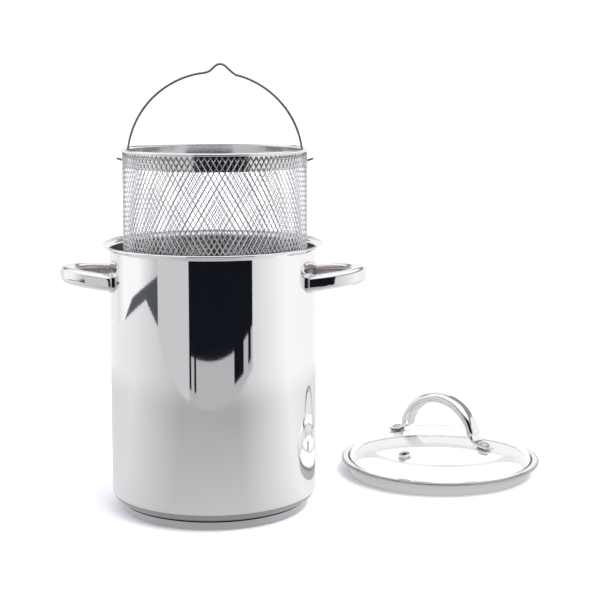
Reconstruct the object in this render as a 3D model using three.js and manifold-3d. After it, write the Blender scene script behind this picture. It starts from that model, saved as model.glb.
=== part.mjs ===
// Stove-top fryer pot: a tall stainless pot with a lift-out wire basket and a glass lid.
// Millimetres, +Z up. The origin is the centre of the pot's base, on the surface it stands on.
// The basket is raised to its draining height, and the lid lies beside and behind the pot.
import * as THREE from 'three';
import { mergeVertices } from 'three/addons/utils/BufferGeometryUtils.js';
import Module from 'manifold-3d';

// Fits and mesh fineness
const GAP = 0.3;
const ROUND_STEPS = 40;
const SMALL_ROUND_STEPS = 12;
const BOW_STEPS = 66;
const BAIL_END_STEPS = 14;
const ARCH_STEPS = 32;
const HOLE_REACH = 12;

// Pot and its encapsulated base
const POT_INNER_R = 80;
const POT_SHEET = 0.8;
const POT_HEIGHT = 209.5;
const POT_CORNER_R = 9;
const RIM_R = 86.6;
const RIM_BEAD_R = 1;
const RIM_BEND_R = 1.5;
const RIM_SLOPE = 18;
const BASE_HEIGHT = 7;
const BASE_R = 74;
const BASE_SHEET = 0.8;
const BASE_CORNER_R = 2;

// Side handles: horseshoe loops that rise a little outwards, each on two welded feet
const HANDLE_CENTRE_X = 76;
const HANDLE_OUTER = [44.4, 33.5];
const HANDLE_INNER = [31.5, 24];
const HANDLE_HEIGHT = 13.5;
const HANDLE_ROUND = 3;
const HANDLE_Z = 181.5;
const HANDLE_RISE = 0.1;
const HANDLE_END = 6;
const FOOT_ANGLE = 21;
const FOOT_WIDTH = 10;
const FOOT_HEIGHT = 15.5;
const FOOT_THICK = 2;
const FOOT_EDGE_R = 0.5;
const FOOT_Z = 181;

// Basket
const BASKET_X = 2;
const BASKET_R = 72;
const BASKET_SHEET = 0.7;
const BASKET_BOTTOM = 97;
const BASKET_TOP = 283;
const BAND_BOTTOM = 269;
const BAND_SHEET = 0.6;
const LIP_BEAD_R = 1.2;
const LIP_OVERHANG = 1;
const RING_HEIGHT = 7;
const RING_WIDTH = 6;

// Bail: one wire that turns in two holes just below the lip, with a nose to hook it up by
const WIRE_R = 1;
const PIVOT_Z = 273;
const PIVOT_X = 71.2;
const PIVOT_HOLE_R = 1.65;
const BAIL_R = 68.3;
const BAIL_BEND_R = 1.3;
const PIN_END_X = 76.8;
const PIN_TILT = 18;
const BOW_FOOT_ANGLE = 5;
const NOSE_X = 4.5;
const NOSE_HALF_WIDTH = 9.5;
const NOSE_HEIGHT = 6.4;
const NOSE_BLEND_ANGLE = 2;
const NOSE_FLANK = [[0.84, 0.16], [0.56, 0.55], [0.27, 0.9]];

// Lid
const LID_X = 186.5;
const LID_Y = 95;
const LID_TURN = -41.5;
const SKIRT_R = 77;
const RIM_SHEET = 0.5;
const FLANGE_R = 84.5;
const FLANGE_Z = 9.6;
const FLANGE_HEIGHT = 2.8;
const FOLD_EDGE_R = 78.6;
const GLASS_R = 83;
const GLASS_THICK = 3.6;
const GLASS_EDGE_INNER_R = 76;
const CROWN_Z = 32;
const CROWN_R = 253;
const SHOULDER_R = 20;
const SHOULDER_START_R = 65;
const SHOULDER_END_ANGLE = 65.5;

// Lid handle, its fixings and the steam vent
const ARCH_HALF_SPAN = 35.5;
const ARCH_TOP_Z = 67.5;
const ARCH_WIDTH = 13.5;
const ARCH_THICK = 8.5;
const ARCH_EDGE_R = 3.8;
const LID_FOOT_FROM = 29;
const LID_FOOT_TO = 55;
const LID_FOOT_WIDTH = 13;
const LID_FOOT_THICK = 1.6;
const LID_FOOT_EDGE_R = 0.3;
const PAD_THICK = 0.8;
const PAD_R = 7;
const RIVET_AT = 46.5;
const RIVET_HEAD_R = 4.4;
const RIVET_HEAD_HEIGHT = 2;
const SHANK_R = 2.2;
const GASKET_R = 6.5;
const GASKET_THICK = 1;
const NUT_R = 4.6;
const NUT_THICK = 2.2;
const VENT_AT = [6, -56];
const VENT_HOLE_R = 1.9;
const VENT_TUBE_R = 2.9;
const VENT_FLANGE_R = 4.8;
const VENT_FLANGE_THICK = 1;
const VENT_EDGE_R = 0.6;
const VENT_RING_R = 5.6;

const wasm = await Module();
wasm.setup();
const radians = THREE.MathUtils.degToRad;
const POT_R = POT_INNER_R + POT_SHEET;

// Materials
const polishedSteel = new THREE.MeshStandardMaterial({ color: 0xd9dadc, roughness: 0.08, metalness: 1 });
const satinSteel = new THREE.MeshStandardMaterial({ color: 0xa9a9ac, roughness: 0.35, metalness: 1 });
const meshSteel = new THREE.MeshStandardMaterial({ color: 0xc6c6c8, roughness: 0.25, metalness: 1 });
const wireSteel = new THREE.MeshStandardMaterial({ color: 0x8d8d90, roughness: 0.3, metalness: 1 });
const aluminium = new THREE.MeshStandardMaterial({ color: 0xb8babd, roughness: 0.5, metalness: 1 });
const silicone = new THREE.MeshStandardMaterial({ color: 0xe4e4e2, roughness: 0.7, metalness: 0 });
const glass = new THREE.MeshStandardMaterial({
  color: 0xf2f7f6, roughness: 0.02, metalness: 0, transparent: true, opacity: 0.3,
});

// Joining and cutting
function toSolid(geometry) {
  const bare = geometry.clone();
  bare.deleteAttribute('normal');
  bare.deleteAttribute('uv');
  const merged = mergeVertices(bare, 1e-3);
  return new wasm.Manifold(new wasm.Mesh({
    numProp: 3,
    vertProperties: merged.getAttribute('position').array,
    triVerts: new Uint32Array(merged.index.array),
  }));
}

function toGeometry(solid) {
  const mesh = solid.getMesh();
  const geometry = new THREE.BufferGeometry();
  geometry.setAttribute('position', new THREE.BufferAttribute(mesh.vertProperties, 3));
  geometry.setIndex(new THREE.BufferAttribute(mesh.triVerts, 1));
  geometry.computeVertexNormals();
  return geometry;
}

function cut(geometry, ...cutters) {
  return toGeometry(cutters.reduce((solid, cutter) => solid.subtract(toSolid(cutter)), toSolid(geometry)));
}

function join(geometry, ...others) {
  return toGeometry(others.reduce((solid, other) => solid.add(toSolid(other)), toSolid(geometry)));
}

// Shapes
// Turns an outline of (radius, height) about Z. It runs anticlockwise, radius to the right.
function revolve(outline, arcSteps = 3, roundSteps = ROUND_STEPS) {
  return new THREE.LatheGeometry(outline.getPoints(arcSteps), roundSteps).rotateX(Math.PI / 2);
}

function ring(innerR, outerR, bottom, top, roundSteps = ROUND_STEPS) {
  const outline = new THREE.Path();
  outline.moveTo(innerR, bottom);
  outline.lineTo(outerR, bottom);
  outline.lineTo(outerR, top);
  outline.lineTo(innerR, top);
  outline.closePath();
  return revolve(outline, 1, roundSteps);
}

function disc(radius, bottom, top, roundSteps = ROUND_STEPS) {
  const height = top - bottom;
  const geometry = new THREE.CylinderGeometry(radius, radius, height, roundSteps);
  return geometry.rotateX(Math.PI / 2).translate(0, 0, bottom + height / 2);
}

// A round bar along X, from one x to the other
function barAlongX(radius, fromX, toX, z) {
  const geometry = new THREE.CylinderGeometry(radius, radius, Math.abs(toX - fromX), SMALL_ROUND_STEPS);
  return geometry.rotateZ(Math.PI / 2).translate((fromX + toX) / 2, 0, z);
}

// A rectangle with round corners, centred on its own origin
function roundedRectangle(width, height, cornerR) {
  const x = width / 2 - cornerR;
  const y = height / 2 - cornerR;
  const outline = new THREE.Shape();
  outline.moveTo(-x, -height / 2);
  outline.absarc(x, -y, cornerR, -Math.PI / 2, 0);
  outline.absarc(x, y, cornerR, 0, Math.PI / 2);
  outline.absarc(-x, y, cornerR, Math.PI / 2, Math.PI);
  outline.absarc(-x, -y, cornerR, Math.PI, Math.PI * 1.5);
  return outline;
}

// An oblong with half-round ends, lying along X
function oblong(length, width) {
  const x = (length - width) / 2;
  const outline = new THREE.Shape();
  outline.moveTo(-x, -width / 2);
  outline.absarc(x, 0, width / 2, -Math.PI / 2, Math.PI / 2);
  outline.absarc(-x, 0, width / 2, Math.PI / 2, Math.PI * 1.5);
  return outline;
}

// A plate of the given outline, its long edges rounded off, from z 0 up to its thickness
function roundedPlate(outline, thickness, edgeR, options = {}) {
  const geometry = new THREE.ExtrudeGeometry(outline, {
    depth: thickness - 2 * edgeR,
    bevelThickness: edgeR,
    bevelSize: edgeR,
    bevelOffset: -edgeR,
    bevelSegments: 1,
    curveSegments: 4,
    ...options,
  });
  return geometry.translate(0, 0, edgeR);
}

// A tube or bar of one section along a curve
function sweep(section, curve, steps, curveSegments) {
  return new THREE.ExtrudeGeometry(section, { extrudePath: curve, steps, curveSegments });
}

function wire(points, steps) {
  const section = new THREE.Shape();
  section.absarc(0, 0, WIRE_R, 0, Math.PI * 2);
  return sweep(section, new THREE.CatmullRomCurve3(points), steps, 4);
}

function part(name, geometry, material) {
  const mesh = new THREE.Mesh(geometry, material);
  mesh.name = name;
  return mesh;
}

// Pot body: deep-drawn shell with a round bottom corner and a sloping, beaded pouring rim
function potBody() {
  const cornerX = POT_R - POT_CORNER_R;
  const cornerZ = BASE_HEIGHT + POT_CORNER_R;
  const beadX = RIM_R - RIM_BEAD_R;
  const beadZ = POT_HEIGHT - RIM_BEAD_R;
  const slope = radians(RIM_SLOPE);
  const bendX = POT_R + RIM_BEND_R;
  // The slope runs straight from the end of the bend to where it touches the bead from below.
  const slopeWidth = beadX + RIM_BEAD_R * Math.sin(slope) - (bendX - RIM_BEND_R * Math.sin(slope));
  const slopeEndZ = beadZ - RIM_BEAD_R * Math.cos(slope);
  const bendZ = slopeEndZ - slopeWidth * Math.tan(slope) - RIM_BEND_R * Math.cos(slope);
  const bendEnd = Math.PI / 2 + slope;
  const beadEnd = slope - Math.PI / 2 + 2 * Math.PI - Math.acos((RIM_BEAD_R - POT_SHEET) / RIM_BEAD_R);
  const outline = new THREE.Path();
  outline.moveTo(0, BASE_HEIGHT);
  outline.lineTo(cornerX, BASE_HEIGHT);
  outline.absarc(cornerX, cornerZ, POT_CORNER_R, -Math.PI / 2, 0);
  outline.absarc(bendX, bendZ, RIM_BEND_R, Math.PI, bendEnd, true);
  outline.absarc(beadX, beadZ, RIM_BEAD_R, slope - Math.PI / 2, beadEnd);
  outline.absarc(bendX, bendZ, RIM_BEND_R + POT_SHEET, bendEnd, Math.PI);
  outline.absarc(cornerX, cornerZ, POT_CORNER_R - POT_SHEET, 0, -Math.PI / 2, true);
  outline.lineTo(0, BASE_HEIGHT + POT_SHEET);
  return revolve(outline, 2);
}

// Base cap: a dished steel plate that closes round the aluminium core
function baseCap() {
  const cornerX = BASE_R - BASE_CORNER_R;
  const top = BASE_HEIGHT - GAP;
  const outline = new THREE.Path();
  outline.moveTo(0, 0);
  outline.lineTo(cornerX, 0);
  outline.absarc(cornerX, BASE_CORNER_R, BASE_CORNER_R, -Math.PI / 2, 0);
  outline.lineTo(BASE_R, top);
  outline.lineTo(BASE_R - BASE_SHEET, top);
  outline.absarc(cornerX, BASE_CORNER_R, BASE_CORNER_R - BASE_SHEET, 0, -Math.PI / 2, true);
  outline.lineTo(0, BASE_SHEET);
  return revolve(outline, 2);
}

function baseCore() {
  const outerR = BASE_R - BASE_SHEET - GAP;
  const bottom = BASE_SHEET + GAP;
  const chamfer = BASE_CORNER_R - BASE_SHEET + GAP;
  const outline = new THREE.Path();
  outline.moveTo(0, bottom);
  outline.lineTo(outerR - chamfer, bottom);
  outline.lineTo(outerR, bottom + chamfer);
  outline.lineTo(outerR, BASE_HEIGHT - GAP);
  outline.lineTo(0, BASE_HEIGHT - GAP);
  return revolve(outline, 1);
}

// Side handle loop: a horseshoe between two half ellipses, its ends shaped to the pot's wall
function handleLoop() {
  const [outerX, outerY] = HANDLE_OUTER;
  const [innerX, innerY] = HANDLE_INNER;
  const endX = HANDLE_CENTRE_X - HANDLE_END;
  const outline = new THREE.Shape();
  outline.moveTo(endX, -outerY);
  outline.absellipse(HANDLE_CENTRE_X, 0, outerX, outerY, -Math.PI / 2, Math.PI / 2);
  outline.lineTo(endX, outerY);
  outline.lineTo(endX, innerY);
  outline.absellipse(HANDLE_CENTRE_X, 0, innerX, innerY, Math.PI / 2, -Math.PI / 2, true);
  outline.lineTo(endX, -innerY);
  const loop = roundedPlate(outline, HANDLE_HEIGHT, HANDLE_ROUND, { bevelSegments: 3, curveSegments: 10 });
  loop.translate(-POT_R, 0, -HANDLE_HEIGHT / 2);
  loop.applyMatrix4(new THREE.Matrix4().makeShear(0, HANDLE_RISE, 0, 0, 0, 0));
  loop.translate(POT_R, 0, HANDLE_Z);
  const feetR = POT_R + FOOT_THICK + 3 * GAP;
  return cut(loop, disc(feetR, HANDLE_Z - HANDLE_HEIGHT, HANDLE_Z + HANDLE_HEIGHT, 2 * ROUND_STEPS));
}

// Handle foot: an upright oblong plate welded against the wall, its back face at x = 0
function handleFoot() {
  const plate = roundedPlate(oblong(FOOT_HEIGHT, FOOT_WIDTH), FOOT_THICK, FOOT_EDGE_R);
  return plate.rotateY(-Math.PI / 2).translate(FOOT_THICK, 0, 0);
}

function sideHandle(side, turn) {
  const group = new THREE.Group();
  group.rotation.z = radians(turn);
  group.add(part(`${side}_handle`, handleLoop(), polishedSteel));
  // Seen from outside the pot's front, the foot nearer the front is named front.
  const ends = side === 'right' ? { front: -1, rear: 1 } : { front: 1, rear: -1 };
  for (const [end, sign] of Object.entries(ends)) {
    const place = new THREE.Group();
    place.rotation.z = radians(sign * FOOT_ANGLE);
    const foot = part(`${side}_handle_foot_${end}`, handleFoot(), polishedSteel);
    foot.position.set(POT_R + GAP, 0, FOOT_Z);
    place.add(foot);
    group.add(place);
  }
  return group;
}

function pot() {
  const group = new THREE.Group();
  group.add(part('pot_body', potBody(), polishedSteel));
  group.add(part('base_core', baseCore(), aluminium));
  group.add(part('base_cap', baseCap(), satinSteel));
  group.add(sideHandle('right', 0));
  group.add(sideHandle('left', 180));
  return group;
}

// Basket wall: the envelope of the expanded-metal sleeve, with the bail's two holes
function pivotHoles() {
  const [from, to] = [BASKET_R - HOLE_REACH, BASKET_R + HOLE_REACH];
  return [-1, 1].map((side) => barAlongX(PIVOT_HOLE_R, side * from, side * to, PIVOT_Z));
}

function basketWall() {
  const top = BASKET_TOP - 2 * LIP_BEAD_R - GAP;
  const sleeve = ring(BASKET_R - BASKET_SHEET, BASKET_R, BASKET_BOTTOM + GAP, top);
  return cut(sleeve, ...pivotHoles());
}

// Basket rim: a smooth band inside the sleeve with a rolled lip over the sleeve's top edge
function basketRim() {
  const outerR = BASKET_R - BASKET_SHEET - GAP;
  const innerR = outerR - BAND_SHEET;
  const beadX = BASKET_R - LIP_BEAD_R + LIP_OVERHANG;
  const beadZ = BASKET_TOP - LIP_BEAD_R;
  const meetAngle = Math.PI + Math.acos((beadX - outerR) / LIP_BEAD_R);
  const outline = new THREE.Path();
  outline.moveTo(innerR, BAND_BOTTOM);
  outline.lineTo(outerR, BAND_BOTTOM);
  outline.absarc(beadX, beadZ, LIP_BEAD_R, meetAngle, Math.PI * 3);
  outline.lineTo(innerR, beadZ - LIP_BEAD_R / 2);
  outline.closePath();
  return cut(revolve(outline, 3), ...pivotHoles());
}

// Basket bottom ring: an angle ring inside the sleeve's lower edge that carries the floor
function basketRing() {
  const outerR = BASKET_R - BASKET_SHEET - GAP;
  const outline = new THREE.Path();
  outline.moveTo(outerR - RING_WIDTH, BASKET_BOTTOM);
  outline.lineTo(outerR, BASKET_BOTTOM);
  outline.lineTo(outerR, BASKET_BOTTOM + RING_HEIGHT);
  outline.lineTo(outerR - BAND_SHEET, BASKET_BOTTOM + RING_HEIGHT);
  outline.lineTo(outerR - BAND_SHEET, BASKET_BOTTOM + BAND_SHEET);
  outline.lineTo(outerR - RING_WIDTH, BASKET_BOTTOM + BAND_SHEET);
  outline.closePath();
  return revolve(outline, 1);
}

function basketFloor() {
  const radius = BASKET_R - BASKET_SHEET - BAND_SHEET - 2 * GAP;
  const bottom = BASKET_BOTTOM + BAND_SHEET + GAP;
  return disc(radius, bottom, bottom + BASKET_SHEET);
}

function basket() {
  const group = new THREE.Group();
  group.position.x = BASKET_X;
  group.add(part('basket_wall', basketWall(), meshSteel));
  group.add(part('basket_rim', basketRim(), polishedSteel));
  group.add(part('basket_bottom_ring', basketRing(), satinSteel));
  group.add(part('basket_floor', basketFloor(), meshSteel));
  group.add(part('bail_wire', bail(), wireSteel));
  return group;
}

function inBailPlane(x, height) {
  return new THREE.Vector3(x, 0, PIVOT_Z + height);
}

function bowPoint(side, degrees) {
  return inBailPlane(side * BAIL_R * Math.cos(radians(degrees)), BAIL_R * Math.sin(radians(degrees)));
}

// One side of the bow: an arc up to the nose, then the nose's flank as shares of its size
function bowSide(side) {
  const noseEdge = NOSE_HALF_WIDTH + side * NOSE_X;
  const noseAngle = THREE.MathUtils.radToDeg(Math.acos(noseEdge / BAIL_R)) - NOSE_BLEND_ANGLE;
  const arcPoints = 12;
  const points = [];
  for (let i = 0; i <= arcPoints; i += 1) {
    points.push(bowPoint(side, THREE.MathUtils.lerp(BOW_FOOT_ANGLE, noseAngle, i / arcPoints)));
  }
  for (const [across, up] of NOSE_FLANK) {
    points.push(inBailPlane(NOSE_X + side * across * NOSE_HALF_WIDTH, BAIL_R + up * NOSE_HEIGHT));
  }
  return points;
}

function bailBow() {
  const noseTop = inBailPlane(NOSE_X, BAIL_R + NOSE_HEIGHT);
  return wire([...bowSide(1), noseTop, ...bowSide(-1).reverse()], BOW_STEPS);
}

// The bail's end: from the bow's foot down, round a tight bend and out through the rim
function bailEnd(side) {
  const tilt = radians(PIN_TILT);
  const bendX = BAIL_R + BAIL_BEND_R;
  const bendHeight = BAIL_BEND_R / Math.cos(tilt) - (PIVOT_X - bendX) * Math.tan(tilt);
  const points = [bowPoint(side, BOW_FOOT_ANGLE + 1), bowPoint(side, BOW_FOOT_ANGLE)];
  points.push(inBailPlane(side * BAIL_R, bendHeight + WIRE_R * 2));
  const bendPoints = 4;
  for (let i = 0; i <= bendPoints; i += 1) {
    const angle = THREE.MathUtils.lerp(Math.PI, Math.PI * 1.5 + tilt, i / bendPoints);
    const x = bendX + BAIL_BEND_R * Math.cos(angle);
    const height = bendHeight + BAIL_BEND_R * Math.sin(angle);
    points.push(inBailPlane(side * x, height));
  }
  for (const x of [PIVOT_X, (PIVOT_X + PIN_END_X) / 2, PIN_END_X]) {
    points.push(inBailPlane(side * x, (x - PIVOT_X) * Math.tan(tilt)));
  }
  return wire(points, BAIL_END_STEPS);
}

function bail() {
  return join(bailBow(), bailEnd(-1), bailEnd(1));
}

// Lid glass: a low crown with a round shoulder, its thin edge held in the steel rim
function crownHeight(radius) {
  return CROWN_Z - CROWN_R + Math.sqrt(CROWN_R ** 2 - radius ** 2);
}

function lidGlass() {
  const startAngle = Math.asin(SHOULDER_START_R / CROWN_R);
  const endAngle = radians(SHOULDER_END_ANGLE);
  const crownCentre = CROWN_Z - CROWN_R;
  const shoulderX = (CROWN_R - SHOULDER_R) * Math.sin(startAngle);
  const shoulderZ = crownCentre + (CROWN_R - SHOULDER_R) * Math.cos(startAngle);
  const fromTop = (angle) => Math.PI / 2 - angle;
  const edgeBottom = FLANGE_Z + RIM_SHEET + GAP;
  const edgeTop = FLANGE_Z + FLANGE_HEIGHT - RIM_SHEET - GAP;
  const outline = new THREE.Path();
  outline.moveTo(0, CROWN_Z - GLASS_THICK);
  outline.absarc(0, crownCentre, CROWN_R - GLASS_THICK, fromTop(0), fromTop(startAngle), true);
  const innerShoulderR = SHOULDER_R - GLASS_THICK;
  outline.absarc(shoulderX, shoulderZ, innerShoulderR, fromTop(startAngle), fromTop(endAngle), true);
  outline.lineTo(GLASS_EDGE_INNER_R, edgeBottom);
  outline.lineTo(GLASS_R, edgeBottom);
  outline.lineTo(GLASS_R, edgeTop);
  outline.lineTo(FOLD_EDGE_R - GAP, edgeTop);
  outline.absarc(shoulderX, shoulderZ, SHOULDER_R, fromTop(endAngle), fromTop(startAngle));
  outline.absarc(0, crownCentre, CROWN_R, fromTop(startAngle), fromTop(0));
  const shankHoles = [-RIVET_AT, RIVET_AT].map((x) => drill(SHANK_R + 2 * GAP, x, 0));
  return cut(revolve(outline, 2), ...shankHoles, drill(VENT_TUBE_R + GAP, ...VENT_AT));
}

// The frame that stands on the crown's top surface at (x, y), its z along the surface normal
function onCrown(x, y) {
  const height = crownHeight(Math.hypot(x, y));
  const normal = new THREE.Vector3(x, y, height - (CROWN_Z - CROWN_R)).normalize();
  const turn = new THREE.Quaternion().setFromUnitVectors(new THREE.Vector3(0, 0, 1), normal);
  return new THREE.Matrix4().compose(new THREE.Vector3(x, y, height), turn, new THREE.Vector3(1, 1, 1));
}

// A round cutter through the lid at (x, y), along the crown's normal
function drill(radius, x, y) {
  return disc(radius, -HOLE_REACH, HOLE_REACH, SMALL_ROUND_STEPS).applyMatrix4(onCrown(x, y));
}

// Lid rim: a ring of T section. Its skirt drops into the pot and its flange folds over the glass edge.
function lidRim() {
  const foldR = FLANGE_HEIGHT / 2;
  const foldX = FLANGE_R - foldR;
  const foldZ = FLANGE_Z + foldR;
  const top = FLANGE_Z + FLANGE_HEIGHT;
  const outline = new THREE.Path();
  outline.moveTo(SKIRT_R - RIM_SHEET, 0);
  outline.lineTo(SKIRT_R, 0);
  outline.lineTo(SKIRT_R, FLANGE_Z);
  outline.absarc(foldX, foldZ, foldR, -Math.PI / 2, Math.PI / 2);
  outline.lineTo(FOLD_EDGE_R, top);
  outline.lineTo(FOLD_EDGE_R, top - RIM_SHEET);
  outline.absarc(foldX, foldZ, foldR - RIM_SHEET, Math.PI / 2, -Math.PI / 2, true);
  outline.lineTo(SKIRT_R - RIM_SHEET, FLANGE_Z + RIM_SHEET);
  outline.closePath();
  return revolve(outline, 2);
}

// Lid handle: a round-edged arch whose ends are pressed out into two flat feet
function lidHandle() {
  const footBottom = PAD_THICK + 2 * GAP;
  const springZ = crownHeight(ARCH_HALF_SPAN + ARCH_THICK / 2) + footBottom + LID_FOOT_THICK;
  const rise = ARCH_TOP_Z - ARCH_THICK / 2 - springZ;
  const points = [];
  const archPoints = 16;
  for (let i = 0; i <= archPoints; i += 1) {
    const angle = (Math.PI * i) / archPoints;
    points.push(new THREE.Vector3(ARCH_HALF_SPAN * Math.cos(angle), 0, springZ + rise * Math.sin(angle)));
  }
  const section = roundedRectangle(ARCH_WIDTH, ARCH_THICK, ARCH_EDGE_R);
  const arch = sweep(section, new THREE.CatmullRomCurve3(points), ARCH_STEPS, 2);
  const length = LID_FOOT_TO - LID_FOOT_FROM;
  const feet = [-1, 1].map((side) => {
    const foot = roundedPlate(oblong(length, LID_FOOT_WIDTH), LID_FOOT_THICK, LID_FOOT_EDGE_R);
    foot.translate(side * (LID_FOOT_FROM + length / 2 - RIVET_AT), 0, footBottom);
    foot.applyMatrix4(onCrown(side * RIVET_AT, 0));
    return foot;
  });
  const footHoles = [-RIVET_AT, RIVET_AT].map((x) => drill(SHANK_R + GAP, x, 0));
  return cut(join(arch, ...feet), ...footHoles);
}

// Rivet: a domed head on the foot and a shank down through the glass to the nut
function rivet() {
  const headBottom = PAD_THICK + LID_FOOT_THICK + 3 * GAP;
  const domeR = (RIVET_HEAD_R ** 2 + RIVET_HEAD_HEIGHT ** 2) / (2 * RIVET_HEAD_HEIGHT);
  const edgeAngle = Math.asin(RIVET_HEAD_R / domeR);
  const shankEnd = -(GLASS_THICK + GASKET_THICK + NUT_THICK + 3 * GAP);
  const outline = new THREE.Path();
  outline.moveTo(0, shankEnd);
  outline.lineTo(SHANK_R, shankEnd);
  outline.lineTo(SHANK_R, headBottom);
  outline.lineTo(RIVET_HEAD_R, headBottom);
  const domeCentre = headBottom + RIVET_HEAD_HEIGHT - domeR;
  outline.absarc(0, domeCentre, domeR, Math.PI / 2 - edgeAngle, Math.PI / 2);
  return revolve(outline, 3, SMALL_ROUND_STEPS);
}

function nut() {
  const outline = new THREE.Shape();
  for (let i = 0; i < 6; i += 1) {
    const angle = (Math.PI * i) / 3;
    outline[i === 0 ? 'moveTo' : 'lineTo'](NUT_R * Math.cos(angle), NUT_R * Math.sin(angle));
  }
  const bottom = -(GLASS_THICK + GASKET_THICK + NUT_THICK + 2 * GAP);
  const block = new THREE.ExtrudeGeometry(outline, { depth: NUT_THICK, bevelEnabled: false });
  return cut(block.translate(0, 0, bottom), disc(SHANK_R + GAP, -HOLE_REACH, HOLE_REACH, SMALL_ROUND_STEPS));
}

// Steam vent: a flanged sleeve through the glass, and the ring it is swaged into underneath
function ventGrommet() {
  const bottom = -(GLASS_THICK + GASKET_THICK + 2 * GAP);
  const outline = new THREE.Path();
  outline.moveTo(VENT_HOLE_R, bottom);
  outline.lineTo(VENT_TUBE_R, bottom);
  outline.lineTo(VENT_TUBE_R, GAP);
  outline.lineTo(VENT_FLANGE_R, GAP);
  const edgeZ = GAP + VENT_FLANGE_THICK - VENT_EDGE_R;
  outline.absarc(VENT_FLANGE_R - VENT_EDGE_R, edgeZ, VENT_EDGE_R, 0, Math.PI / 2);
  outline.lineTo(VENT_HOLE_R, GAP + VENT_FLANGE_THICK);
  outline.closePath();
  return revolve(outline, 2, SMALL_ROUND_STEPS);
}

function ventRing() {
  const top = -(GLASS_THICK + GAP);
  return ring(VENT_TUBE_R + GAP, VENT_RING_R, top - GASKET_THICK, top, SMALL_ROUND_STEPS);
}

function lid() {
  const group = new THREE.Group();
  group.position.set(LID_X, LID_Y, 0);
  group.rotation.z = radians(LID_TURN);
  const rim = part('lid_rim', lidRim(), satinSteel);
  // The ring is turned back, so that its facets' corners lie on the row's own axes.
  rim.rotation.z = -group.rotation.z;
  group.add(rim);
  group.add(part('lid_glass', lidGlass(), glass));
  group.add(part('lid_handle', lidHandle(), polishedSteel));
  for (const [side, x] of [['left', -RIVET_AT], ['right', RIVET_AT]]) {
    const fixing = new THREE.Group();
    fixing.applyMatrix4(onCrown(x, 0));
    const shankHoleR = SHANK_R + GAP;
    const gasketTop = -(GLASS_THICK + GAP);
    const pad = ring(shankHoleR, PAD_R, GAP, GAP + PAD_THICK, SMALL_ROUND_STEPS);
    const gasket = ring(shankHoleR, GASKET_R, gasketTop - GASKET_THICK, gasketTop, SMALL_ROUND_STEPS);
    fixing.add(part(`${side}_rivet`, rivet(), polishedSteel));
    fixing.add(part(`${side}_foot_pad`, pad, silicone));
    fixing.add(part(`${side}_glass_gasket`, gasket, silicone));
    fixing.add(part(`${side}_nut`, nut(), satinSteel));
    group.add(fixing);
  }
  const vent = new THREE.Group();
  vent.applyMatrix4(onCrown(...VENT_AT));
  vent.add(part('vent_grommet', ventGrommet(), polishedSteel));
  vent.add(part('vent_ring', ventRing(), satinSteel));
  group.add(vent);
  return group;
}

const fryer = new THREE.Group();
fryer.add(pot());
fryer.add(basket());
fryer.add(lid());
export default fryer;
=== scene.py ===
"""Looks of the stove-top fryer pot: smooth steel, real expanded-metal basket, glass lid and a white studio.

Lengths are in millimetres and are turned into metres as each mesh is made.
"""

import math

import bmesh
import bpy
import numpy as np
from mathutils import Matrix, Vector


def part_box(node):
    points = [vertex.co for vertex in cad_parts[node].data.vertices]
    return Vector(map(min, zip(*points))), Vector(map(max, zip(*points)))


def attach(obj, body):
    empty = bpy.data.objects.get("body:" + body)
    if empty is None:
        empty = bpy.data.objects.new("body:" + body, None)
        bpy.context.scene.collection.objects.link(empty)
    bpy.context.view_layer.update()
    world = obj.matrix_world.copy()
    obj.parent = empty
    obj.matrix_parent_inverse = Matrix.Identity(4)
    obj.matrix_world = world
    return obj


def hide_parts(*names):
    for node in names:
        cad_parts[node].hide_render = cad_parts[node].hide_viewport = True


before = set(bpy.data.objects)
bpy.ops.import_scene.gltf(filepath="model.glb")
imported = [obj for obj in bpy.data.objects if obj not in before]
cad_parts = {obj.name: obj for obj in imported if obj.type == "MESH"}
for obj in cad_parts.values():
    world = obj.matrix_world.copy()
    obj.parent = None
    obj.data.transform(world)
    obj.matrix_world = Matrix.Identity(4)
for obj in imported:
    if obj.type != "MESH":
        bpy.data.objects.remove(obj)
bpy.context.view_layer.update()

MM = 0.001
ROUND = 240
SMALL_ROUND = 72
SHARP_ANGLE = math.radians(32)


def box_mm(node):
    """Lowest and highest corner of a CAD node, and its centre, in millimetres."""
    low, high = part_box(node)
    return low / MM, high / MM, (low + high) / 2 / MM


# Sizes read from the frame
_, POT_HIGH, _ = box_mm("pot_body")
_, BASE_HIGH, _ = box_mm("base_cap")
WALL_LOW, WALL_HIGH, BASKET_CENTRE = box_mm("basket_wall")
BAND_LOW, BAND_HIGH, _ = box_mm("basket_rim")
HOOP_LOW, HOOP_HIGH, _ = box_mm("basket_bottom_ring")
FLOOR_LOW, _, _ = box_mm("basket_floor")
_, BAIL_HIGH, _ = box_mm("bail_wire")
_, LID_RIM_HIGH, LID_CENTRE = box_mm("lid_rim")
_, HANDLE_HIGH, _ = box_mm("right_handle")
_, _, HANDLE_FOOT = box_mm("right_handle_foot_front")
_, _, LEFT_RIVET = box_mm("left_rivet")
_, _, RIGHT_RIVET = box_mm("right_rivet")
_, _, VENT = box_mm("vent_grommet")
_, ARCH_HIGH, _ = box_mm("lid_handle")

# Pot
RIM_R = POT_HIGH.x
POT_TOP = POT_HIGH.z
POT_R = 80.8
SHEET = 0.8
CORNER_R = 9.0
BEAD_R = 1.0
RIM_BEND_R = 1.5
RIM_SLOPE = 18
BASE_R = BASE_HIGH.x
BASE_TOP = 7.0
SEAM_Z = 6.75

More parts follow.
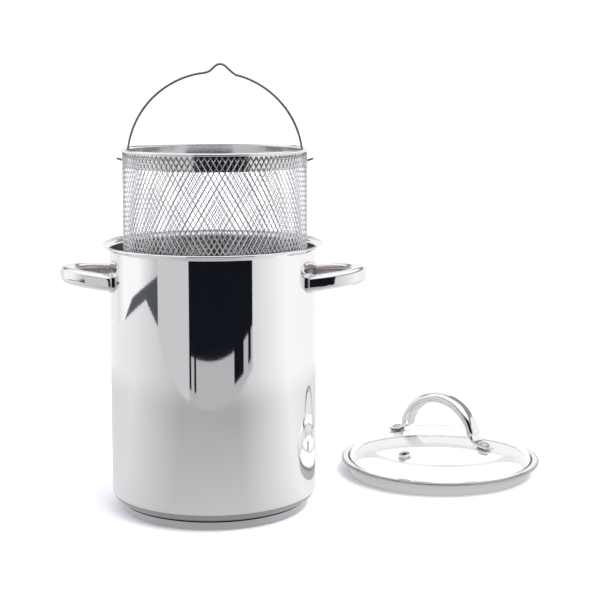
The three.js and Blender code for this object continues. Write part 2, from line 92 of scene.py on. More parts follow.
# Side handles
LOOP_X = 76.0
LOOP_OUTER = (HANDLE_HIGH.x - LOOP_X, 33.5)
LOOP_INNER = (31.5, 24.0)
LOOP_RISE = 0.1
LOOP_HEIGHT = 13.5
LOOP_Z = HANDLE_HIGH.z - LOOP_HEIGHT / 2 - LOOP_RISE * (HANDLE_HIGH.x - POT_R)
ARM_HEIGHT = 13.3
GRIP_HEIGHT = 12.8
LOOP_EDGE_R = 4.3
FOOT_ANGLE = 21.0
FOOT_SIZE = (10.0, 15.5)
FOOT_THICK = 2.1
FOOT_SEAT_GAP = 0.02
WELD_R = 0.45

# Basket
BASKET_R = WALL_HIGH.x - BASKET_CENTRE.x
DIAMONDS_ROUND = 102
DIAMOND_HALF_HEIGHT = 3.8
STRAND_NOTCH = (0.42, 0.64)
STRAND_THICK = 0.4
STRAND_LEAN = 0.18
BAND_R = 70.7
BAND_SHEET = 0.5
LIP_R = 1.2

# Bail
WIRE_R = 1.0
PIVOT_Z = 273.0
BOW_R = 68.3
BEND_R = 1.3
PIVOT_REACH = 71.2
PIN_TILT = math.radians(18)
PIN_STRAIGHT = 1.5
PIN_END = BAIL_HIGH.x - BASKET_CENTRE.x - 0.4
NOSE_X = 4.5
NOSE_HALF_WIDTH = 9.5
NOSE_HEIGHT = BAIL_HIGH.z - WIRE_R - PIVOT_Z - BOW_R

# Lid
FLANGE_R = LID_RIM_HIGH.x - LID_CENTRE.x
SKIRT_R = 77.0
RIM_SHEET = 0.5
FLANGE_Z = 9.6
FLANGE_HEIGHT = 2.8
FOLD_EDGE_R = 78.6
GLASS_R = 83.0
GLASS_THICK = 3.6
CROWN_Z = 32.0
CROWN_R = 253.0
SHOULDER_R = 20.0
SHOULDER_START_R = 65.0
SHOULDER_END = 65.5
RIVET_AT = 46.5
FOOT_END = 55.0
ARCH_HALF_SPAN = 35.5
ARCH_TOP = ARCH_HIGH.z
ARCH_WIDTH = 13.3
ARCH_THICK = 8.3
STRAP_THICK = 1.6


# ---------------------------------------------------------------- mesh building

def to_object(name, verts, faces, place=Matrix.Identity(4)):
    """A smooth-shaded object from points in millimetres, its faces turned outwards."""
    mesh = bpy.data.meshes.new(name)
    mesh.from_pydata((np.asarray(verts, float) * MM).tolist(), [], faces)
    mesh.transform(place.to_3x3().to_4x4())
    work = bmesh.new()
    work.from_mesh(mesh)
    bmesh.ops.recalc_face_normals(work, faces=work.faces)
    work.to_mesh(mesh)
    work.free()
    mesh.shade_smooth()
    mesh.set_sharp_from_angle(angle=SHARP_ANGLE)
    piece = bpy.data.objects.new(name, mesh)
    piece.matrix_world = Matrix.Translation(place.translation)
    bpy.context.scene.collection.objects.link(piece)
    return piece


class Outline:
    """A half section of a turned part: points of (radius, height), anticlockwise."""

    def __init__(self, radius, height):
        self.points = [(radius, height)]

    def line(self, radius, height):
        self.points.append((radius, height))
        return self

    def arc(self, centre_r, centre_h, radius, start, end, steps=10):
        for angle in np.radians(np.linspace(start, end, steps + 1)):
            self.points.append((centre_r + radius * math.cos(angle), centre_h + radius * math.sin(angle)))
        return self


def supported(points, closed, longest=6.0, support=0.35):
    """Splits long straight stretches, with one extra point close to each end to keep the shading true."""
    result = []
    pairs = zip(points, points[1:] + points[:1]) if closed else zip(points, points[1:])
    for a, b in pairs:
        a, b = np.array(a), np.array(b)
        length = np.linalg.norm(b - a)
        if length < 1e-4:
            continue
        result.append(a)
        if length > 4 * support:
            inner = np.linspace(support, length - support, max(2, math.ceil(length / longest) + 1))
            result += [a + (b - a) * step / length for step in inner]
    if not closed:
        result.append(np.array(points[-1]))
    return result


def lathe(name, outline, turns=ROUND, place=Matrix.Identity(4), shape=None):
    """Turns an outline about Z. It closes on itself, or starts and ends on the axis.
    shape(angle, radius, height) may give each point another radius."""
    closed = outline.points[0][0] > 1e-6
    points = supported(outline.points, closed)
    angles = np.arange(turns) * 2 * math.pi / turns
    verts, rows = [], []
    for radius, height in points:
        if radius < 1e-6:
            rows.append([len(verts)] * turns)
            verts.append((0, 0, height))
            continue
        rows.append(list(range(len(verts), len(verts) + turns)))
        for angle in angles:
            r = shape(angle, radius, height) if shape else radius
            verts.append((r * math.cos(angle), r * math.sin(angle), height))
    if closed:
        rows.append(rows[0])
    faces = []
    for low, high in zip(rows, rows[1:]):
        for i in range(turns):
            j = (i + 1) % turns
            corners = [low[i], low[j], high[j], high[i]]
            faces.append([c for k, c in enumerate(corners) if c != corners[k - 1]])
    return to_object(name, verts, faces, place)


def loft(name, rings, place=Matrix.Identity(4), joined=False):
    """A skin over rings of equally many points, capped at both ends or joined end to end."""
    count = len(rings[0])
    verts = np.concatenate([np.asarray(ring, float) for ring in rings])
    faces = []
    total = len(rings)
    for k in range(total if joined else total - 1):
        a, b = k * count, ((k + 1) % total) * count
        faces += [[a + i, a + (i + 1) % count, b + (i + 1) % count, b + i] for i in range(count)]
    if not joined:
        faces.append(list(range(count))[::-1])
        faces.append(list(range((total - 1) * count, total * count)))
    return to_object(name, verts, faces, place)


def rounded_section(width, height, corner, corner_steps=6, side_steps=3):
    """Points of a rectangle with round corners about its centre, anticlockwise."""
    x, y = width / 2 - corner, height / 2 - corner
    points = []
    for cx, cy, start in ((x, -y, -90), (x, y, 0), (-x, y, 90), (-x, -y, 180)):
        for angle in np.radians(np.linspace(start, start + 90, corner_steps + 1)):
            points.append((cx + corner * math.cos(angle), cy + corner * math.sin(angle)))
    filled = []
    for k, (a, b) in enumerate(zip(points, points[1:] + points[:1])):
        filled.append(a)
        if k % (corner_steps + 1) == corner_steps:
            filled += [tuple(np.array(a) + (np.array(b) - np.array(a)) * i / side_steps)
                       for i in range(1, side_steps)]
    return np.array(filled)


def smooth_path(points, steps):
    """A Catmull-Rom curve through the points, with so many steps in each stretch."""
    p = np.asarray(points, float)
    p = np.vstack([2 * p[0] - p[1], p, 2 * p[-1] - p[-2]])
    result = []
    for a, b, c, d in zip(p, p[1:], p[2:], p[3:]):
        for t in np.arange(steps) / steps:
            result.append(0.5 * (2 * b + (c - a) * t + (2 * a - 5 * b + 4 * c - d) * t * t
                                 + (3 * b - a - 3 * c + d) * t ** 3))
    result.append(p[-2])
    return np.array(result)


def plane_sweep(name, path, sections, place=Matrix.Identity(4)):
    """Sweeps sections of (across, thick) points along a path in the XZ plane; across lies along Y."""
    tangents = np.gradient(path, axis=0)
    rings = []
    for point, tangent, section in zip(path, tangents, sections):
        tangent = tangent / np.linalg.norm(tangent)
        up = np.array([-tangent[2], 0, tangent[0]])
        rings.append([point + up * thick + np.array([0, across, 0]) for across, thick in section])
    return loft(name, rings, place)


# ---------------------------------------------------------------- materials

def new_material(name):
    material = bpy.data.materials.new(name)
    material.use_nodes = True
    shader = material.node_tree.nodes["Principled BSDF"]
    return material, material.node_tree, shader


def add_node(tree, kind, values=(), **settings):
    node = tree.nodes.new(kind)
    for key, value in settings.items():
        setattr(node, key, value)
    for key, value in dict(values).items():
        node.inputs[key].default_value = value
    return node


def noise(tree, stretch, scale, detail=4.0):
    """Noise in the piece's own coordinates, stretched by (x, y, z)."""
    place = add_node(tree, "ShaderNodeTexCoord")
    mapping = add_node(tree, "ShaderNodeMapping", {"Scale": stretch})
    tree.links.new(place.outputs["Object"], mapping.inputs["Vector"])
    texture = add_node(tree, "ShaderNodeTexNoise", {"Scale": scale, "Detail": detail})
    tree.links.new(mapping.outputs["Vector"], texture.inputs["Vector"])
    return texture.outputs["Fac"]


def turned_noise(tree, scale, detail=3.0):
    """Noise that changes with the distance from the axis and with height, and so makes turned rings."""
    place = add_node(tree, "ShaderNodeTexCoord")
    parts = add_node(tree, "ShaderNodeSeparateXYZ")
    tree.links.new(place.outputs["Object"], parts.inputs[0])
    flat = add_node(tree, "ShaderNodeCombineXYZ")
    tree.links.new(parts.outputs["X"], flat.inputs["X"])
    tree.links.new(parts.outputs["Y"], flat.inputs["Y"])
    radius = add_node(tree, "ShaderNodeVectorMath", operation="LENGTH")
    tree.links.new(flat.outputs[0], radius.inputs[0])
    rings = add_node(tree, "ShaderNodeCombineXYZ")
    tree.links.new(radius.outputs["Value"], rings.inputs["X"])
    tree.links.new(parts.outputs["Z"], rings.inputs["Y"])
    texture = add_node(tree, "ShaderNodeTexNoise", {"Scale": scale, "Detail": detail})
    tree.links.new(rings.outputs[0], texture.inputs["Vector"])
    return texture.outputs["Fac"]


def ranged(tree, source, low, high):
    node = add_node(tree, "ShaderNodeMapRange", {"To Min": low, "To Max": high})
    tree.links.new(source, node.inputs["Value"])
    return node.outputs["Result"]


def tinted(tree, source, dark, light):
    ramp = add_node(tree, "ShaderNodeValToRGB")
    ramp.color_ramp.elements[0].color = (*dark, 1)
    ramp.color_ramp.elements[1].color = (*light, 1)
    ramp.color_ramp.elements[0].position = 0.3
    ramp.color_ramp.elements[1].position = 0.7
    tree.links.new(source, ramp.inputs["Fac"])
    return ramp.outputs["Color"]


def bump(tree, shader, source, distance, strength=1.0):
    node = add_node(tree, "ShaderNodeBump", {"Strength": strength, "Distance": distance})
    tree.links.new(source, node.inputs["Height"])
    tree.links.new(node.outputs["Normal"], shader.inputs["Normal"])


def steel(name, tone, roughness, stretch, scale, scratch, smudge=0.05):
    """Steel with fine scratches drawn out along one direction and faint smudges."""
    material, tree, shader = new_material(name)
    shader.inputs["Metallic"].default_value = 1.0
    marks = noise(tree, stretch, scale)
    haze = noise(tree, (1, 1, 1), 18.0)
    light = np.array(tone)
    colour = tinted(tree, haze, tuple(light * (1 - smudge)), tuple(light))
    tree.links.new(colour, shader.inputs["Base Color"])
    tree.links.new(ranged(tree, marks, roughness * 0.7, roughness * 1.4), shader.inputs["Roughness"])
    bump(tree, shader, marks, scratch)
    return material


def turned_steel(name, tone, roughness, scale, scratch, contrast=0.14):
    """Steel with the fine rings that turning or satin brushing leaves."""
    material, tree, shader = new_material(name)
    shader.inputs["Metallic"].default_value = 1.0
    rings = turned_noise(tree, scale)
    light = np.array(tone)
    colour = tinted(tree, rings, tuple(light * (1 - contrast)), tuple(light))
    tree.links.new(colour, shader.inputs["Base Color"])
    tree.links.new(ranged(tree, rings, roughness * 0.8, roughness * 1.25), shader.inputs["Roughness"])
    bump(tree, shader, rings, scratch)
    return material


def glass_material():
    material, tree, shader = new_material("clear_glass")
    shader.inputs["Base Color"].default_value = (0.985, 0.995, 0.99, 1)
    shader.inputs["Transmission Weight"].default_value = 1.0
    shader.inputs["IOR"].default_value = 1.5
    wiped = noise(tree, (1, 1, 1), 30.0)
    tree.links.new(ranged(tree, wiped, 0.0, 0.025), shader.inputs["Roughness"])
    bump(tree, shader, noise(tree, (1, 1, 1), 9.0, 1.0), 0.00002)
    return material


def silicone_material(name, tone):
    material, tree, shader = new_material(name)
    grain = noise(tree, (1, 1, 1), 900.0)
    colour = tinted(tree, grain, (tone * 0.93,) * 3, (tone * 1.07,) * 3)
    tree.links.new(colour, shader.inputs["Base Color"])
    tree.links.new(ranged(tree, grain, 0.5, 0.7), shader.inputs["Roughness"])
    bump(tree, shader, grain, 0.00004)
    return material


POLISHED_TONE = (0.845, 0.84, 0.84)
polished = steel("polished_steel", POLISHED_TONE, 0.035, (6, 6, 900), 1.0, 0.0000015, 0.02)
polished_loop = steel("polished_loop", (0.83, 0.82, 0.81), 0.06, (60, 400, 400), 1.0, 0.000004, 0.04)
# Painted shade and painted reflection: darker, warmer steel for the handles' inner faces and undersides
painted_shade_steel = steel("painted_shade_steel", (0.50, 0.475, 0.445), 0.24, (60, 400, 400), 1.0, 0.000006, 0.08)
# Painted shade: near-black steel for gaps and holes where shade falls
painted_gap_shade = steel("painted_gap_shade", (0.06, 0.06, 0.065), 0.3, (1, 1, 1), 300.0, 0.000004, 0.1)
# Painted reflection: darker steel for the dark line along the lid rim's outer fold
painted_fold_reflection = steel("painted_fold_reflection", (0.42, 0.42, 0.43), 0.14, (1, 1, 60), 200.0, 0.000002, 0.06)
rivet_steel = turned_steel("rivet_steel", (0.56, 0.55, 0.545), 0.2, 1400.0, 0.000008, 0.2)
# Satin steel for the pot's inside: the turned rings are the real finish, the low tone is painted shade for
# the deep inside
inside_satin_and_shade = turned_steel("inside_satin_and_shade", (0.42, 0.41, 0.395), 0.3, 700.0, 0.000002, 0.08)
satin_base = turned_steel("satin_base", (0.58, 0.58, 0.595), 0.30, 1500.0, 0.00001)
band_steel = turned_steel("band_steel", (0.88, 0.875, 0.87), 0.12, 300.0, 0.000001, 0.04)
satin_lid = turned_steel("satin_lid", (0.60, 0.585, 0.57), 0.26, 1200.0, 0.000008)
mesh_steel = steel("mesh_steel", (0.76, 0.755, 0.75), 0.3, (1, 1, 1), 420.0, 0.000006, 0.06)
wire_steel = steel("wire_steel", (0.36, 0.355, 0.35), 0.27, (300, 300, 40), 1.0, 0.000008, 0.12)
aluminium = turned_steel("core_aluminium", (0.72, 0.73, 0.74), 0.45, 500.0, 0.00002)
clear_glass = glass_material()
silicone = silicone_material("silicone", 0.75)
# Painted shade: near-black silicone for the pads under the lid handle's feet, standing in for the shade
# beneath the feet
painted_shade_silicone = silicone_material("painted_shade_silicone", 0.09)
weld_steel = steel("weld_steel", (0.55, 0.54, 0.53), 0.28, (1, 1, 1), 700.0, 0.00005, 0.2)


def place_piece(piece, material, body, slot, *nodes):
    piece.data.materials.append(material)
    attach(piece, body)
    if nodes:
        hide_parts(*nodes)
    return piece


# ---------------------------------------------------------------- pot

def pot_body():
    corner_r, corner_h = POT_R - CORNER_R, BASE_TOP + CORNER_R
    bead_r, bead_h = RIM_R - BEAD_R, POT_TOP - BEAD_R
    slope = math.radians(RIM_SLOPE)
    bend_r = POT_R + RIM_BEND_R
    slope_width = bead_r + BEAD_R * math.sin(slope) - (bend_r - RIM_BEND_R * math.sin(slope))
    slope_end = bead_h - BEAD_R * math.cos(slope)
    bend_h = slope_end - slope_width * math.tan(slope) - RIM_BEND_R * math.cos(slope)
    bead_end = RIM_SLOPE + 270 - math.degrees(math.acos((BEAD_R - SHEET) / BEAD_R))
    outline = Outline(0, BASE_TOP)
    outline.line(corner_r, BASE_TOP).arc(corner_r, corner_h, CORNER_R, -90, 0, 18)
    outline.arc(bend_r, bend_h, RIM_BEND_R, 180, 90 + RIM_SLOPE, 10)
    outline.arc(bead_r, bead_h, BEAD_R, RIM_SLOPE - 90, bead_end, 20)
    outline.arc(bend_r, bend_h, RIM_BEND_R + SHEET, 90 + RIM_SLOPE, 180, 10)
    outline.arc(corner_r, corner_h, CORNER_R - SHEET, 0, -90, 14).line(0, BASE_TOP + SHEET)
    piece = lathe("pot_body_shell", outline)
    place_piece(piece, polished, "pot", "polished_steel", "pot_body")
    # The inside wall takes the satin steel whose darker tone is painted shade inside the pot
    piece.data.materials.append(inside_satin_and_shade)
    inner_r = (POT_R - SHEET / 2) * MM
    for face in piece.data.polygons:
        centre = face.center
        if math.hypot(centre.x, centre.y) < inner_r and centre.z > (BASE_TOP + SHEET / 2) * MM:
            if centre.z < bend_h * MM:
                face.material_index = 1


def base():
    low_r = 2.0
    outline = Outline(0, 0).line(BASE_R - low_r, 0).arc(BASE_R - low_r, low_r, low_r, -90, 0, 10)
    outline.line(BASE_R, SEAM_Z - 0.5).arc(BASE_R - 0.45, SEAM_Z - 0.45, 0.45, 0, 90, 6)
    outline.line(BASE_R - SHEET, SEAM_Z)
    outline.arc(BASE_R - low_r, low_r, low_r - SHEET, 0, -90, 6).line(0, SHEET)
    piece = place_piece(lathe("base_cap_shell", outline), satin_base, "pot", "satin_steel", "base_cap")
    # Painted shade: the cap's top edge, tucked under the pot's rounded corner, is near-black steel standing
    # in for the shade there
    shade_faces(piece, painted_gap_shade, lambda point, _: point.z > SEAM_Z - 0.5)
    core_r = BASE_R - SHEET - 0.3
    outline = Outline(0, SHEET + 0.3).line(core_r - 1.5, SHEET + 0.3).line(core_r, SHEET + 1.8)
    outline.line(core_r, SEAM_Z - 0.3).line(0, SEAM_Z - 0.3)
    place_piece(lathe("base_core_disc", outline, 120), aluminium, "pot", "core_aluminium", "base_core")


def loop_axes(share):
    """Half axes of the ellipse that runs this share of the way from the loop's inner to its outer edge."""
    return [i + (o - i) * share for i, o in zip(LOOP_INNER, LOOP_OUTER)]


def loop_end(share, seat_r):
    """The angle at which that ellipse meets the round face of the handle's foot."""
    half_x, half_y = loop_axes(share)
    low, high = math.radians(60), math.radians(110)
    for _ in range(40):
        turn = (low + high) / 2
        if math.hypot(LOOP_X + half_x * math.cos(turn), half_y * math.sin(turn)) > seat_r:
            low = turn
        else:
            high = turn
    return low


def loop_ring(reach, seat_r):
    """The loop's section at a reach from -1 at one foot to 1 at the other."""
    out = math.cos(reach * math.pi / 2)
    widths = [o - i for i, o in zip(LOOP_INNER, LOOP_OUTER)]
    width = widths[1] + (widths[0] - widths[1]) * out
    ring = []
    for across, height in rounded_section(width, ARM_HEIGHT + (GRIP_HEIGHT - ARM_HEIGHT) * out, LOOP_EDGE_R):
        share = across / width + 0.5
        half_x, half_y = loop_axes(share)
        turn = reach * loop_end(share, seat_r)
        x = LOOP_X + half_x * math.cos(turn)
        ring.append((x, half_y * math.sin(turn), LOOP_Z + LOOP_RISE * (x - POT_R) + height))
    return np.array(ring)


def shade_faces(piece, material, chosen):
    """Gives another material to the faces for which chosen(centre, normal), in millimetres, holds; it serves
    real changes of finish and also painted shade and painted reflections.
    """
    piece.data.materials.append(material)
    index = len(piece.data.materials) - 1
    for face in piece.data.polygons:
        if chosen(face.center / MM, face.normal):
            face.material_index = index


def side_loop(side, place):
    seat_r = POT_R + FOOT_THICK - 0.1
    rings = [loop_ring(reach, seat_r) for reach in np.linspace(-1, 1, 97)]
    piece = loft(f"{side}_handle_loop", rings, place)
    place_piece(piece, polished_loop, "pot", "polished_steel", f"{side}_handle")
    centre = place @ Vector((LOOP_X, 0, 0))

    def faces_in(point, normal):
        outwards = Vector((point.x - centre.x, point.y - centre.y, 0)).normalized()
        return normal.dot(outwards) < -0.75

    # Painted shade and painted reflection: the faces that look into the loop get darker, warmer steel
    shade_faces(piece, painted_shade_steel, faces_in)
    return rings[0], rings[-1]


def foot_plate(name, node, angle, place):
    """An oblong plate bent to the wall, with rolled edges."""
    width, height = FOOT_SIZE
    edge = 0.9
    rings = []
    depths = [(0, 0.0), (0, FOOT_THICK - edge)]
    depths += [(edge * (1 - math.cos(a)), FOOT_THICK - edge + edge * math.sin(a))
               for a in np.radians([22.5, 45, 67.5, 90])]
    depths += [(2.0, FOOT_THICK), (3.5, FOOT_THICK)]
    for inset, out in depths:
        radius = width / 2 - inset
        straight = (height - width) / 2
        ring = []
        for start, lift in ((0, straight), (180, -straight)):
            for turn in np.radians(np.linspace(start, start + 180, 25)):
                ring.append((radius * math.cos(turn), lift + radius * math.sin(turn), out))
        rings.append(ring)
    bent = []
    for ring in rings:
        bent_ring = []
        for across, lift, out in ring:
            reach = POT_R + FOOT_SEAT_GAP + out
            turn = angle + across / POT_R
            bent_ring.append((reach * math.cos(turn), reach * math.sin(turn), HANDLE_FOOT.z + lift))
        bent.append(bent_ring)
    piece = loft(name, bent, place)
    place_piece(piece, polished_loop, "pot", "polished_steel", node)


def weld_bead(name, ring, place):
    """A thin bead of weld round the arm where it meets its foot."""
    ring = np.array(ring)
    middle = ring.mean(0)
    rings = []
    for point in ring:
        outwards = point - middle
        outwards /= np.linalg.norm(outwards)
        along = np.array([point[0], point[1], 0]) / math.hypot(point[0], point[1])
        rings.append([point + along * 0.1 + outwards * WELD_R * math.cos(a) + along * WELD_R * math.sin(a)
                      for a in np.radians(np.arange(0, 360, 36))])
    piece = loft(name, rings, place, joined=True)
    place_piece(piece, weld_steel, "pot", "polished_steel")


def side_handles():
    for side, turn in (("right", 0), ("left", math.pi)):
        place = Matrix.Rotation(turn, 4, "Z")
        first, last = side_loop(side, place)
        ends = {"front": -1, "rear": 1} if side == "right" else {"front": 1, "rear": -1}
        for end, sign in ends.items():
            foot_plate(f"{side}_{end}_foot_plate", f"{side}_handle_foot_{end}",
                       sign * math.radians(FOOT_ANGLE), place)
            weld_bead(f"{side}_{end}_weld", first if sign < 0 else last, place)


# ---------------------------------------------------------------- basket

def expanded_sheet(columns, rows, pitch, half_height, wrap):
    """A flat expanded-metal lattice: points (u, v, lean) and quads.
    Bonds are diamonds and strands join them."""
    notch_u, notch_v = STRAND_NOTCH
    index, points, quads = {}, [], []

    def bond(column, row):
        key = (column % columns if wrap else column, row)
        if key not in index:
            u = (column + 0.5 * (row % 2)) * pitch
            v = row * half_height
            index[key] = len(points)
            points.append((u, v + notch_v, 1))
            points.append((u + notch_u, v, 0))
            points.append((u, v - notch_v, -1))
            points.append((u - notch_u, v, 0))
        return index[key]

    for row in range(rows):
        for column in range(columns):
            top, right, bottom, left = range(bond(column, row), bond(column, row) + 4)
            quads.append((top, left, bottom, right))
            if row == rows - 1:
                continue
            shift = row % 2
            for step, low, high in ((shift, (right, top), (3, 2)), (shift - 1, (top, left), (2, 1))):
                if not wrap and not 0 <= column + step < columns:
                    continue
                above = bond(column + step, row + 1)
                quads.append((*low, above + high[0], above + high[1]))
    return points, quads


def thickened(name, outer, inner, quads, place):
    """Closes two copies of a lattice with walls along its open edges."""
    count = len(outer)
    faces = [list(q) for q in quads] + [[i + count for i in q[::-1]] for q in quads]
    edges = {}
    for q in quads:
        for a, b in zip(q, q[1:] + q[:1]):
            edges[(a, b)] = edges.get((b, a), 0) + 1
    for (a, b) in list(edges):
        if (b, a) not in edges:
            faces.append([b, a, a + count, b + count])
    return to_object(name, np.vstack([outer, inner]), faces, place)


def basket_wall(place):
    pitch = 2 * math.pi / DIAMONDS_ROUND
    height = WALL_HIGH.z - WALL_LOW.z
    rows = round(height / DIAMOND_HALF_HEIGHT)
    half_height = (height - 2 * STRAND_NOTCH[1]) / rows
    middle_r = BASKET_R - STRAND_LEAN - STRAND_THICK / 2 - 0.05
    points, quads = expanded_sheet(DIAMONDS_ROUND, rows + 1, pitch * middle_r, half_height, True)
    outer, inner = [], []
    for u, v, lean in points:
        for side, store in ((1, outer), (-1, inner)):
            r = middle_r + lean * STRAND_LEAN + side * STRAND_THICK / 2
            store.append((r * math.cos(u / middle_r), r * math.sin(u / middle_r),
                          WALL_LOW.z + STRAND_NOTCH[1] + v))
    piece = thickened("basket_mesh_wall", outer, inner, quads, place)
    place_piece(piece, mesh_steel, "basket", "mesh_steel", "basket_wall")


def basket_floor(place):
    pitch = 2 * math.pi * BASKET_R / DIAMONDS_ROUND
    floor_r = BASKET_R - 2.2
    columns = math.ceil(2 * floor_r / pitch) + 1
    rows = math.ceil(2 * floor_r / DIAMOND_HALF_HEIGHT) + 1
    points, quads = expanded_sheet(columns, rows, pitch, DIAMOND_HALF_HEIGHT, False)
    centre = np.array([columns * pitch / 2, (rows - 1) * DIAMOND_HALF_HEIGHT / 2])
    flat = np.array([(u, v) for u, v, _ in points]) - centre
    inside = np.hypot(*flat.T) < floor_r
    quads = [q for q in quads if all(inside[list(q)])]
    used = sorted({i for q in quads for i in q})
    renumber = {old: new for new, old in enumerate(used)}
    quads = [tuple(renumber[i] for i in q) for q in quads]
    middle_z = FLOOR_LOW.z + STRAND_THICK
    outer = [(*flat[i], middle_z + points[i][2] * 0.15 + STRAND_THICK / 2) for i in used]
    inner = [(*flat[i], middle_z + points[i][2] * 0.15 - STRAND_THICK / 2) for i in used]
    piece = thickened("basket_mesh_floor", outer, inner, quads, place)
    place_piece(piece, mesh_steel, "basket", "mesh_steel", "basket_floor")


def basket_bands(place):
    bead_r, bead_h = BASKET_R - LIP_R + 1, BAND_HIGH.z - LIP_R
    inner_r = BAND_R - BAND_SHEET
    meet = 180 + math.degrees(math.acos((bead_r - BAND_R) / LIP_R))
    outline = Outline(inner_r, BAND_LOW.z + 0.3).arc(inner_r + 0.25, BAND_LOW.z + 0.25, 0.25, 180, 360, 6)
    outline.arc(bead_r, bead_h, LIP_R, meet, 515, 24)
    outline.line(inner_r, bead_h - 0.6)
    place_piece(lathe("basket_rim_band", outline, place=place), band_steel, "basket", "polished_steel",
                "basket_rim")
    floor_leg = 6.0
    sheet = 0.6
    outline = Outline(BAND_R - floor_leg, HOOP_LOW.z).line(BAND_R - 0.6, HOOP_LOW.z)
    outline.arc(BAND_R - 0.6, HOOP_LOW.z + 0.6, 0.6, -90, 0, 6).line(BAND_R, HOOP_HIGH.z)
    outline.line(BAND_R - sheet, HOOP_HIGH.z).line(BAND_R - sheet, HOOP_LOW.z + sheet)
    outline.line(BAND_R - floor_leg, HOOP_LOW.z + sheet)
    place_piece(lathe("basket_foot_ring", outline, place=place), band_steel, "basket", "satin_steel",
                "basket_bottom_ring")


def bail_side(side):
    """One half of the bail, from its outer end up to the nose, in the plane of the bow."""
    bend_x = BOW_R + BEND_R
    bend_h = BEND_R / math.cos(PIN_TILT) - (PIVOT_REACH - bend_x) * math.tan(PIN_TILT)
    pin_reaches = (PIN_END, PIN_END - PIN_STRAIGHT, PIVOT_REACH + PIN_STRAIGHT)
    points = [(x, (x - PIVOT_REACH) * math.tan(PIN_TILT)) for x in pin_reaches]
    for angle in np.linspace(1.5 * math.pi + PIN_TILT, math.pi, 7):
        points.append((bend_x + BEND_R * math.cos(angle), bend_h + BEND_R * math.sin(angle)))
    nose_edge = NOSE_HALF_WIDTH + side * NOSE_X
    nose_angle = math.degrees(math.acos(nose_edge / BOW_R)) - 2
    for angle in np.radians(np.linspace(5, nose_angle, 26)):
        points.append((BOW_R * math.cos(angle), BOW_R * math.sin(angle)))
    points = [(side * x, h) for x, h in points]
    for across, up in ((0.84, 0.16), (0.56, 0.55), (0.27, 0.9)):
        points.append((NOSE_X + side * across * NOSE_HALF_WIDTH, BOW_R + up * NOSE_HEIGHT))
    return points


def bail(place):
    way = bail_side(-1) + [(NOSE_X, BOW_R + NOSE_HEIGHT)] + bail_side(1)[::-1]
    path = smooth_path([(x, 0, PIVOT_Z + h) for x, h in way], 5)
    angles = np.radians(np.arange(0, 360, 20))
    circle = np.column_stack([np.cos(angles), np.sin(angles)]) * WIRE_R
    sections = [circle] * len(path)
    sections[0] = sections[-1] = circle * 0.72
    piece = plane_sweep("bail_bow", path, sections, place)
    place_piece(piece, wire_steel, "bail", "wire_steel", "bail_wire")


def basket():
    place = Matrix.Translation((BASKET_CENTRE.x * MM, BASKET_CENTRE.y * MM, 0))
    basket_wall(place)
    basket_floor(place)
    basket_bands(place)
    bail(place)


# ---------------------------------------------------------------- lid

LID_TURN = math.atan2(RIGHT_RIVET.y - LEFT_RIVET.y, RIGHT_RIVET.x - LEFT_RIVET.x)
LID_PLACE = Matrix.Translation((LID_CENTRE.x * MM, LID_CENTRE.y * MM, 0)) @ Matrix.Rotation(LID_TURN, 4, "Z")


def crown_height(radius):
    return CROWN_Z - CROWN_R + math.sqrt(CROWN_R ** 2 - radius ** 2)


def on_crown(x, y):
    """The lid's place of a frame standing on the glass at (x, y), its Z along the glass's normal."""
    height = crown_height(math.hypot(x, y))
    normal = Vector((x, y, height - CROWN_Z + CROWN_R)).normalized()
    turn = Vector((0, 0, 1)).rotation_difference(normal).to_matrix().to_4x4()
    return LID_PLACE @ Matrix.Translation((x * MM, y * MM, height * MM)) @ turn


def lid_glass():
    start = math.asin(SHOULDER_START_R / CROWN_R)
    start_deg, end_deg = 90 - math.degrees(start), 90 - SHOULDER_END
    crown_h = CROWN_Z - CROWN_R
    shoulder_r = (CROWN_R - SHOULDER_R) * math.sin(start)
    shoulder_h = crown_h + (CROWN_R - SHOULDER_R) * math.cos(start)
    low, high = FLANGE_Z + RIM_SHEET + 0.3, FLANGE_Z + FLANGE_HEIGHT - RIM_SHEET - 0.3
    outline = Outline(0, CROWN_Z - GLASS_THICK)
    outline.arc(0, crown_h, CROWN_R - GLASS_THICK, 90, start_deg, 24)
    outline.arc(shoulder_r, shoulder_h, SHOULDER_R - GLASS_THICK, start_deg, end_deg, 20)
    outline.line(SKIRT_R - 1, low).line(GLASS_R, low).line(GLASS_R, high).line(FOLD_EDGE_R - 0.3, high)
    outline.arc(shoulder_r, shoulder_h, SHOULDER_R, end_deg, start_deg, 24)
    outline.arc(0, crown_h, CROWN_R, start_deg, 90, 24)
    piece = lathe("lid_glass_dome", outline, place=LID_PLACE)
    place_piece(piece, clear_glass, "lid", "clear_glass", "lid_glass")
    piece.visible_shadow = False
    piece.visible_diffuse = False


